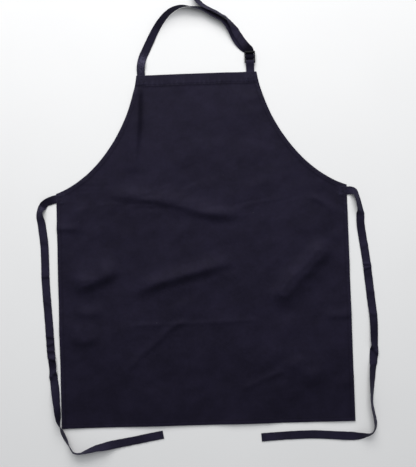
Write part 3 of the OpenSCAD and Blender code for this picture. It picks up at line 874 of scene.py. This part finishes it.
for name, bounds, body in (
    ("neck_strap", (NECK_X - 7.5, BIB - 18, NECK_X + 8, BIB - 3), "bib"),
    ("buckle_tab", (BUCKLE_X - 8, BIB - 18, BUCKLE_X + 8, BIB - 3), "bib"),
    ("left_tie", (-HALF_W + 3, LEFT_Y - 8, -HALF_W + 18, LEFT_Y + 6), "skirt"),
    ("right_tie", (HALF_W - 18, RIGHT_Y - 8, HALF_W - 3, RIGHT_Y + 7), "skirt"),
):
    ob, _ = threads(f"stitches_{name}_box", crossed_box(*bounds), f"thread_{name}_anchor",
                    pitch=2.6)
    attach(ob, body)


# ------------------------------------------------------------------ tapes
def lay(points, step=2.4):
    """Smooth curve through the stations of a tape; a missing lift is 0.1."""
    table = np.array([list(point) + [0.1] * (4 - len(point)) for point in points], float)
    out = []
    for i in range(len(table) - 1):
        before, start, end = table[max(0, i - 1)], table[i], table[i + 1]
        after = table[min(len(table) - 1, i + 2)]
        count = max(2, int(round(np.linalg.norm(end[:2] - start[:2]) / step)))
        for k in range(count):
            t = k / count
            out.append(0.5 * (2 * start + (end - before) * t
                              + (2 * before - 5 * start + 4 * end - after) * t * t
                              + (3 * start - before - 3 * end + after) * t ** 3))
    out.append(table[-1])
    return np.array(out)


def stations(points, first):
    """Centre, width direction and face direction along a laid tape that sets off along first."""
    table = lay(points)
    ahead = np.zeros((len(table), 2))
    ahead[1:-1] = table[2:, :2] - table[:-2, :2]
    ahead[0], ahead[-1] = first, table[-1, :2] - table[-2, :2]
    ahead = unit_rows(ahead)
    roll = np.radians(table[:, 2])
    side = np.stack([-ahead[:, 1], ahead[:, 0], 0 * roll], 1)
    up = np.array([0, 0, 1.0])
    wide = np.cos(roll)[:, None] * side + np.sin(roll)[:, None] * up
    face = -np.sin(roll)[:, None] * side + np.cos(roll)[:, None] * up
    z = (TAPE_HALF * np.abs(np.sin(roll)) + TAPE_T / 2 * np.abs(np.cos(roll)) + table[:, 3])
    return np.stack([table[:, 0], table[:, 1], z], 1), wide, face


# places across a tape
ACROSS = np.array([-10, -9.86, -9.5, -8.7, -8.0, -7.3, -5.5, -2.0,
                   2.0, 5.5, 7.3, 8.0, 8.7, 9.5, 9.86, 10])


def half_thick(across):
    """Half thickness: rounded edge, sunk seam line and thinner middle."""
    from_edge = TAPE_HALF - np.abs(across)
    rounding = (np.clip(0.55 - from_edge, 0, 0.55) / 0.55) ** 2
    half = TAPE_T / 2 * np.sqrt(np.clip(1 - rounding, 0, 1))
    half = (half - 0.15 * np.exp(-((np.abs(across) - TAPE_SEAM) / 0.6) ** 2)
            - 0.10 * smooth((from_edge - 2.5) / 3))
    return np.maximum(half, 0.0)


def ribbon(name, line, seed, nodes, waver, creases=(), painted_light_marks=()):
    """Closed tape with folded edges, sunk seam lines and a slight waver.

    line is (centre, wide, face). A crease is (run, slant, height, half width), a place of painted
    light (run, amount, half width): a painted highlight above zero, painted shade below zero.
    Each crease also gets painted shade along one side. Returns the object, the run of its
    vertices, the run of its rings, and the function for the lift of the tape off its centre line.
    """
    centre, wide, face = line
    count = len(centre)
    run = run_along(centre)
    sag, long_sag = LineNoise(seed, step=17.0), LineNoise(seed + 5, step=34.0)
    # one noise for each edge, picked by whether the place is on the plus side
    edge_in = LineNoise(seed + 2, step=8.0), LineNoise(seed + 1, step=8.0)
    edge_up = LineNoise(seed + 4, step=5.0), LineNoise(seed + 3, step=5.0)

    def lift_at(a):
        edge = abs(a) / 10
        lift = waver * (0.10 * sag(run) * (1 - edge ** 2)
                        + 0.16 * edge ** 3 * edge_up[int(a > 0)](run)
                        + 0.05 * long_sag(run)) + 0.22 * max(0.0, waver - 1)
        for place, slant, high, half in creases:
            lift = lift + high * np.exp(-np.abs((run - place - slant * a) / half) ** 1.6)
        return lift

    def wear_and_painted_light_at(a):
        # painted shade along one side of each crease
        painted_shade = sum(min(high, 1.6)
                   * np.exp(-(((run - place - slant * a) / half - 1.1) / 0.7) ** 2)
                   for place, slant, high, half in creases)
        edge = np.full(count, 0.8 * math.exp(-(TAPE_HALF - abs(a)) / 0.6) + 0.12)
        # painted highlights above zero and painted shade below zero
        fade = sum(amount * np.exp(-((run - place) / half) ** 2)
                   for place, amount, half in painted_light_marks)
        return edge + fade - 0.32 * painted_shade

    strands, weave, wear_and_painted_light = [], [], []
    for places, sign in ((ACROSS, 1), (ACROSS[-2:0:-1], -1)):
        for a in places:
            edge = np.abs(a) / 10
            across = a * (1 + 0.010 * waver * edge_in[int(a > 0)](run) * edge)
            off = half_thick(a) * sign + lift_at(a)
            strands.append(centre + across[:, None] * wide + off[:, None] * face)
            weave.append(np.stack([np.full(count, a + (0 if sign > 0 else 40)), run, 0 * run], 1))
            wear_and_painted_light.append(wear_and_painted_light_at(a))
    size = len(strands)
    faces = [[a, d, c, b] for a, b, c, d in wall(count, size)]
    # each end is closed by strips between the two faces
    tops = list(range(1, len(ACROSS) - 1))
    lows = [size - k for k in tops]
    strip = [[0, tops[0], lows[0]]]
    strip += [[tops[j], tops[j + 1], lows[j + 1], lows[j]] for j in range(len(tops) - 1)]
    strip.append([tops[-1], len(ACROSS) - 1, lows[-1]])
    faces += strip
    faces += [[(count - 1) * size + k for k in face_ids[::-1]] for face_ids in strip]
    ob = make(name, np.stack(strands, 1).reshape(-1, 3), faces, TAPE_MAT,
              {"weave": np.stack(weave, 1).reshape(-1, 3) / 1000,
               "wear_and_painted_light": np.stack(wear_and_painted_light, 1).ravel()})
    stand_for(ob, "tape", *nodes)
    return ob, np.repeat(run, size), run, lift_at


def edge_paths(line, start, end, lift_at, side=1):
    """Both edge seams, on the face side (1) or the other side (-1) of a tape."""
    centre, wide, face = line
    out = []
    for k in (-1, 1):
        off = 0.42 * side + lift_at(TAPE_SEAM * k)
        points = centre + k * TAPE_SEAM * wide + off[:, None] * face
        out.append((points[start:end], side * face[start:end]))
    return out


def cross_row(centre, wide, face, half=7, count=9, lift=0.5):
    """A row of stitches across a tape at one station."""
    across = np.linspace(-half, half, count)[:, None]
    return centre + across * wide + lift * face, np.tile(face, (count, 1))


def marks_along(marks, centre, axis):
    """Marks placed by their X (axis 0) or Y (axis 1), turned into runs along the tape.

    Marks placed by Y are looked for below y = -30 only.
    """
    run = run_along(centre)
    reach = (axis == 0) | (centre[:, 1] < -30)
    places = np.where(reach, centre[:, axis], np.inf)
    return [(float(run[nearest(places, at)]), *rest) for at, *rest in marks]


# stations of the tapes: x, y, roll in degrees about the run, lift off the table if not 0.1
LEFT_LAY = [
    (-338, LEFT_Y, 0, STRAP_Z), (-348, LEFT_Y, 0, STRAP_Z), (-358.3, LEFT_Y, 0, STRAP_Z),
    (-372, -17, -16), (-385, -24, -36), (-396, -37, 26), (-399, -53, 24), (-395, -80, 0),
    (-390, -133, 0), (-389, -221, 0), (-384, -310, 0), (-380, -390, 0), (-378, -404, 9),
    (-375.5, -436, 12), (-375, -450, -8), (-374, -462, 0), (-371, -485, -24),
    (-368, -514, -48), (-365.5, -541, -58), (-363, -560, -84), (-359, -573, -116),
    (-354, -587, -132), (-346.5, -603, -128), (-338, -620, -108), (-329, -633, -104),
    (-315, -635, -98), (-300, -631, -81), (-286, -627, -66), (-271, -623, -56),
    (-256, -621, -40), (-229, -617, -8), (-185, -610, 0), (-146, -603, 0), (-110, -597, 0)]
RIGHT_LAY = [
    (338, RIGHT_Y, 0, STRAP_Z), (348, RIGHT_Y, 0, STRAP_Z), (358.3, RIGHT_Y, 0, STRAP_Z),
    (368, -15, -8), (376, -19, -32), (380, -28, -44), (384, -42, -44), (387.5, -62, -34),
    (388.5, -76, -6), (388.5, -98, -4), (392, -130, 0), (399, -187, 0), (406, -268, 0),
    (411, -330, -8), (410.5, -380, -18), (410, -396, -16), (409.5, -408, 5), (407, -430, -6),
    (404, -449, -28), (401, -478, -40), (399, -506, -54), (398, -534, -62), (402, -560, -62),
    (405, -583, -60), (401, -599, -64), (392, -607, -58), (379, -610, -42), (364, -612, -20),
    (345, -612, 0), (300, -609, 0), (250, -606, 0), (190, -607, 0), (129, -610, 0)]
NECK_LAY = [
    (NECK_X, BIB - SEWN_DEPTH, 0, STRAP_Z), (NECK_X, BIB - 10, 0, STRAP_Z),
    (NECK_X, BIB + 0.3, 0, STRAP_Z), (-139.5, 301, 0, 3.0), (-138, 313, 3, 5.4),
    (-134, 331, 10, 0.2), (-121, 357, 22), (-104, 390, 37), (-86, 418, 52), (-64, 441, 68),
    (-36, 453, 92), (-10, 452, 114), (17, 446, 130), (44, 431, 138), (68, 416, 138),
    (84, 397, 152), (99, 369, 170), (113, 351, 180), (125, 342, 180), (130, 334, 180)]
TAIL_LAY = [
    (131, 339.4, 0, 1.5), (129.5, 343, 0, 1.9), (121, 352, 4, 1.9), (107, 372, 10, 1.5),
    (97, 389, 22, 1.2), (87, 406, 46, 0.6), (77, 419, 62), (60, 431, 58), (37, 444, 52),
    (18, 455, 46), (6, 467, 44), (1, 481, 44), (-2, 503, 44)]

# painted highlights (above zero) and painted shade (below zero): y on a tie or x on the neck
# strap, amount, half width
LEFT_PAINTED_LIGHT = [(-42, 0.6, 11), (-204, -0.30, 7), (-352, -0.25, 9), (-420, -0.60, 13),
              (-548, -0.45, 26)]
RIGHT_PAINTED_LIGHT = [(-66, 0.2, 10), (-100, -0.45, 22), (-222, -0.45, 10), (-360, -0.42, 28),
               (-465, -0.30, 24)]
NECK_PAINTED_LIGHT = [(-136.8, 2.6, 15), (-139.3, 1.1, 12), (-88, -0.30, 20), (8, -0.45, 30),
              (60, -0.40, 22), (92, -0.45, 12), (126, -0.8, 12)]
TAIL_PAINTED_LIGHT = [(128, -0.9, 13), (86, -0.35, 14), (48, -0.3, 16)]
# creases: y on a tie or x on the neck strap, slant, height, half width
LEFT_CREASES = [
    (-118, 0.2, 0.7, 5), (-204, -0.1, 1.2, 3.5), (-268, 0.5, 0.7, 5), (-352, 0.2, 1.4, 4),
    (-369, -0.3, 1.8, 4), (-386, 0.1, 1.4, 4), (-403, 0.35, 2.4, 5), (-443, -0.7, 3.6, 5)]
RIGHT_CREASES = [
    (-66, 0.5, 1.0, 5), (-150, -0.3, 0.7, 5), (-196, 0.1, 2.2, 3.5), (-206, -0.2, 2.6, 3.5),
    (-262, 0.6, 0.7, 6), (-318, 0.4, 0.9, 5), (-402, 1.0, 2.8, 6), (-438, -0.5, 1.0, 5)]
NECK_CREASES = [(-136.5, 0.3, 0.8, 5), (-113, -0.4, 0.9, 6), (-72, 0.4, 0.8, 6)]
TAIL_CREASES = [(120, 0.3, 0.9, 4), (108, -0.5, 1.4, 5), (93, 0.6, 1.8, 5),
                (73, -0.4, 1.4, 5), (48, 0.4, 1.0, 6), (14, -0.5, 1.0, 5)]


def blend_tie(ob):
    """Bakes the object's placement into its mesh."""
    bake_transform(ob)


def waist_tie(side, sign, layout, seed, creases, painted_light_marks, painted_light_runs):
    body = f"{side}_tie"
    line = stations(layout, (sign, 0))
    centre, wide, face = line
    ob, vert_run, run, lift_at = ribbon(
        f"{side}_waist_tie", line, seed, (body, f"{body}_sewn_end"), waver=2.0,
        creases=marks_along(creases, centre, axis=1),
        painted_light_marks=marks_along(painted_light_marks, centre, axis=1) + painted_light_runs)
    edge_run = run[nearest(np.abs(centre[:len(run) // 10, 0]), HALF_W)]
    blend_tie(ob)
    start = nearest(run, edge_run + 2)
    ob, thread_run = threads(f"stitches_{body}_edges",
                             edge_paths(line, start, len(run) - 2, lift_at),
                             f"thread_{body}_edges")
    blend_tie(ob)
    end = nearest(run, run[-1] - 7)
    row = cross_row(centre[end], wide[end], face[end], lift=0.5 + lift_at(0.0)[end])
    ob, _ = threads(f"stitches_{body}_end", [row], f"thread_{body}_end")
    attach(ob, body)


# painted shade at the root of the left tie, between the hem and the turn
waist_tie("left", -1, LEFT_LAY, 101, LEFT_CREASES, LEFT_PAINTED_LIGHT, painted_light_runs=[(34, -0.45, 13)])
waist_tie("right", 1, RIGHT_LAY, 131, RIGHT_CREASES, RIGHT_PAINTED_LIGHT, painted_light_runs=[])


def buckle_wrap():
    """Stations of the neck strap under the upper bar, round the middle bar and back over."""
    slack = 1.4
    table_z = 0.1 + TAPE_T / 2
    tail_z = 0.1 + TAPE_T + 0.2 + TAPE_T / 2
    turn_top = BAR_Z + TURN + slack
    out = []
    for level in BAR_Y[2] + np.array([5, 3.5, 2, 0, -1.5, -3, -4.5, -6, -7.5, -9]):
        rise = float(smooth((BAR_Y[2] - level) / 12.0))
        z = table_z + (BAR_Z - TURN - 0.1 - TAPE_T / 2) * rise
        out.append(((BUCKLE_X, level, z), (-1, 0, 0), (0, 0, -1)))
    for angle in np.radians(np.arange(0, 181, 12)):
        sine, cosine = math.sin(angle), math.cos(angle)
        z = BAR_Z + slack / 2 - (TURN + slack / 2) * cosine
        out.append(((BUCKLE_X, BAR_Y[1] - (TURN + 3.0) * sine, z), (-1, 0, 0),
                    (0, -sine, -cosine)))

    def out_z(level):
        return turn_top + (tail_z - turn_top) * float(smooth((level - BAR_Y[1]) / 11.0))

    for k in range(1, 13):
        level = BAR_Y[1] + k * 17.0 / 12
        slope = (out_z(level + 0.1) - out_z(level - 0.1)) / 0.2
        length = math.hypot(slope, 1)
        out.append(((BUCKLE_X, level, out_z(level)), (-1, 0, 0),
                    (0, -slope / length, 1 / length)))
    return [np.array(part, float) for part in zip(*out)]


def neck_strap():
    """Out of the top hem, round the loop and into the slide buckle."""
    line = stations(NECK_LAY, (0, 1))
    keep = (line[0][:, 1] > BAR_Y[2] + 7) | (line[0][:, 0] < 0)
    loop_count = int(keep.sum())
    line = [np.concatenate([part[keep], extra]) for part, extra in zip(line, buckle_wrap())]
    centre = line[0]
    # painted shade on the end of the strap inside the buckle
    shaded_end = [(float(run_along(centre)[-1]) - 14, -0.95, 26)]
    ob, _, _, lift_at = ribbon(
        "neck_strap_tape", line, 161, ("neck_strap", "neck_strap_sewn_end"), waver=0.8,
        creases=marks_along(NECK_CREASES, centre, axis=0),
        painted_light_marks=marks_along(NECK_PAINTED_LIGHT, centre, axis=0) + shaded_end)
    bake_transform(ob)
    # the seams are on the face side up to the top of the loop, where the tape stands on
    # edge, and on the other side after that
    start = int(np.argmax(centre[:, 1] > BIB + 1))
    cut = int(np.argmax(centre[:, 0] > -36))
    paths = edge_paths(line, start, cut - 2, lift_at)
    paths += edge_paths(line, cut + 2, loop_count - 1, lift_at, side=-1)
    ob, _ = threads("stitches_neck_strap_edges", paths, "thread_neck_strap_edges")
    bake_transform(ob)


def strap_tail():
    """Free end of the neck strap, beyond the buckle."""
    line = stations(TAIL_LAY, (0, 1))
    centre, wide, face = line
    ob, _, run, lift_at = ribbon(
        "neck_strap_tail_tape", line, 191, ("neck_strap_tail",), waver=1.3,
        creases=marks_along(TAIL_CREASES, centre, axis=0),
        painted_light_marks=marks_along(TAIL_PAINTED_LIGHT, centre, axis=0))
    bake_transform(ob)
    paths = edge_paths(line, nearest(run, 6), len(run) - 2, lift_at)
    ob, _ = threads("stitches_strap_tail_edges", paths, "thread_strap_tail_edges")
    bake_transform(ob)
    end = nearest(run, run[-1] - 3)
    row = cross_row(centre[end], wide[end], face[end])
    ob, _ = threads("stitches_strap_tail_end", [row], "thread_strap_tail_end")
    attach(ob, "strap_tail")


def tab_path():
    """Centre line of the buckle tab: up from the hem, round the lower bar and back."""
    low_z, high_z = STRAP_Z + TAPE_T / 2, STRAP_Z + 1.5 * TAPE_T
    free_y = BIB + 3                    # where the tab leaves the hem
    path = [(level, low_z) for level in np.linspace(BIB - SEWN_DEPTH, free_y, 10)]
    bar_y, bar_z = BAR_Y[0] - 0.8, BAR_Z - TURN
    for k in np.linspace(0, 1, 9)[1:]:
        path.append((free_y + (bar_y - free_y) * k, low_z + (bar_z - low_z) * float(smooth(k))))
    for angle in np.radians(np.arange(-78, 100, 11)):
        path.append((BAR_Y[0] + (TURN + 2.0) * math.cos(angle), BAR_Z + TURN * math.sin(angle)))
    turn_y, turn_z = path[-1]
    for k in np.linspace(0, 1, 9)[1:]:
        drop = float(smooth(k ** 0.8))
        path.append((turn_y + (free_y - turn_y) * k, turn_z + (high_z + 0.5 - turn_z) * drop))
    for level in np.linspace(free_y, BIB - SEWN_DEPTH, 10)[1:]:
        path.append((level, high_z + 0.5 * float(smooth((level - BIB + 6) / 9))))
    path = np.column_stack([np.full(len(path), BUCKLE_X), path])
    run = run_along(path)
    count = max(2, int(round(run[-1] / 1.5)) + 1)
    return columns_at(np.linspace(0, run[-1], count), run, path)


def buckle_tab():
    path = tab_path()
    wide = np.tile([-1.0, 0, 0], (len(path), 1))
    face = np.cross(unit_rows(np.gradient(path, axis=0)), wide)
    ob, *_ = ribbon("buckle_tab_tape", (path, wide, face), 211,
                    ("buckle_tab", "buckle_tab_sewn_end"), waver=0.6)
    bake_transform(ob)
    # a seam across the upper layer, just above the bib
    upper = np.arange(len(path)) > len(path) / 2
    found = np.where((path[:, 1] > BIB + 5) & (path[:, 1] < BIB + 8) & upper)[0]
    at = int(found[len(found) // 2])
    up = face[at] if face[at][2] > 0 else -face[at]
    row = cross_row(path[at], wide[at], up, half=8, count=10)
    ob, _ = threads("stitches_buckle_tab", [row], "thread_buckle_tab_seam")
    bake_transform(ob)


neck_strap()
strap_tail()
buckle_tab()


# ------------------------------------------------------------------ slide buckle
def rounded_bar(start, end, half_a, half_b, axis, power):
    """A bar with a superellipse section, half_a along axis, and domed ends."""
    rings, sides = 8, 20
    start, end, axis = (np.array(v, float) for v in (start, end, axis))
    ahead = (end - start) / np.linalg.norm(end - start)
    other = np.cross(ahead, axis)
    angle = np.arange(sides) * 2 * math.pi / sides
    part_a, part_b = (np.sign(v) * np.abs(v) ** (2 / power)
                      for v in (np.cos(angle), np.sin(angle)))
    section = half_a * part_a[:, None] * axis + half_b * part_b[:, None] * other
    cap = min(half_a, half_b)
    offsets = [cap * (1 - math.sin(k)) for k in np.linspace(0.15, math.pi / 2, rings)]
    verts = []
    for tip, inward, places in ((start, ahead, offsets), (end, -ahead, offsets[::-1])):
        for offset in places:
            scale = math.sqrt(max(0.0, 1 - (offset / cap) ** 2))
            verts.append(tip + inward * offset + scale * section)
    count, base = len(verts), len(verts) * sides
    faces = wall(count, sides)
    last = (count - 1) * sides
    for k in range(sides):
        faces.append([base, (k + 1) % sides, k])
        faces.append([base + 1, last + k, last + (k + 1) % sides])
    return np.concatenate(verts + [[start, end]]), faces


def slide_buckle():
    """Two side rails and three crossbars, the upper one wider, fused into one moulding."""
    inner = TAPE_HALF + 0.7             # half width of the openings
    rail_half = 1.2
    parts = []
    for sign in (-1, 1):
        rail_x = BUCKLE_X + sign * (inner + rail_half)
        parts.append(rounded_bar((rail_x, BAR_Y[0] - BAR_R, BAR_Z),
                                 (rail_x, BAR_Y[2] + BAR_R, BAR_Z),
                                 rail_half, BAR_R, axis=(1, 0, 0), power=3.4))
    for level, extra in zip(BAR_Y, (0.0, 0.0, 0.9)):
        parts.append(rounded_bar((BUCKLE_X - inner - 2.2, level + extra, BAR_Z),
                                 (BUCKLE_X + inner + 2.2, level + extra, BAR_Z),
                                 BAR_R + extra, BAR_R, axis=(0, 1, 0), power=2.2))
    buckle = make("slide_buckle_moulding", *joined(parts), PLASTIC_MAT)
    assign(buckle.modifiers.new("fuse", "REMESH"), mode="VOXEL", voxel_size=0.00032)
    assign(buckle.modifiers.new("fillet", "SMOOTH"), factor=0.5, iterations=4)
    bpy.context.view_layer.update()
    shape = buckle.evaluated_get(bpy.context.evaluated_depsgraph_get())
    fused = bpy.data.meshes.new_from_object(shape)
    buckle.modifiers.clear()
    buckle.data = fused
    # the remeshed copy may come without its material
    if not fused.materials:
        fused.materials.append(PLASTIC_MAT)
    fused.polygons.foreach_set("use_smooth", [True] * len(fused.polygons))
    stand_for(buckle, "plastic", "slide_buckle")
    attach(buckle, "buckle")


slide_buckle()


# ------------------------------------------------------------------ stage, light and camera
def add_floor():
    bpy.ops.mesh.primitive_plane_add(size=16.0, location=(0, 0, -0.0006))
    floor = bpy.context.object
    floor.name = "pale_table"
    g = Graph("pale_table_paint")
    tone = g.noise(g.object_place(), scale=3.0)
    g.surface({
        "Base Color": g.mix(tone, (0.80, 0.80, 0.80, 1), (0.84, 0.84, 0.84, 1)),
        "Roughness": 0.75,
        "Specular IOR Level": 0.2,
    })
    floor.data.materials.append(g.material)


def add_area(name, place, target, width, height, power, colour):
    light = bpy.data.lights.new(name, "AREA")
    assign(light, shape="RECTANGLE", size=width, size_y=height, energy=power, color=colour)
    ob = add_object(name, light)
    ob.location = place
    aim = Vector(target) - Vector(place)
    ob.rotation_euler = aim.to_track_quat("-Z", "Y").to_euler()


add_floor()
world = bpy.data.worlds.new("soft_room")
scene.world = world
world.use_nodes = True
background = world.node_tree.nodes["Background"]
background.inputs["Color"].default_value = (0.93, 0.96, 1.0, 1)
background.inputs["Strength"].default_value = 0.28

add_area("window", place=(-0.18, 2.8, 1.85), target=(0, 0.1, 0), width=3.2, height=1.8,
         power=102, colour=(1.0, 0.99, 0.98))
add_area("ceiling", place=(0.0, 1.1, 2.3), target=(0, 0.2, 0), width=3.0, height=2.2,
         power=33, colour=(0.98, 0.99, 1.0))

camera = add_object("camera", bpy.data.cameras.new("camera"))
assign(camera.data, sensor_width=36.0, lens=46.87, clip_start=0.05, clip_end=50)
assign(camera, location=(0.03531586, -0.14936506, 1.49488606),
       rotation_euler=(0.0260491, 0.01495769, -0.03131219))
scene.camera = camera
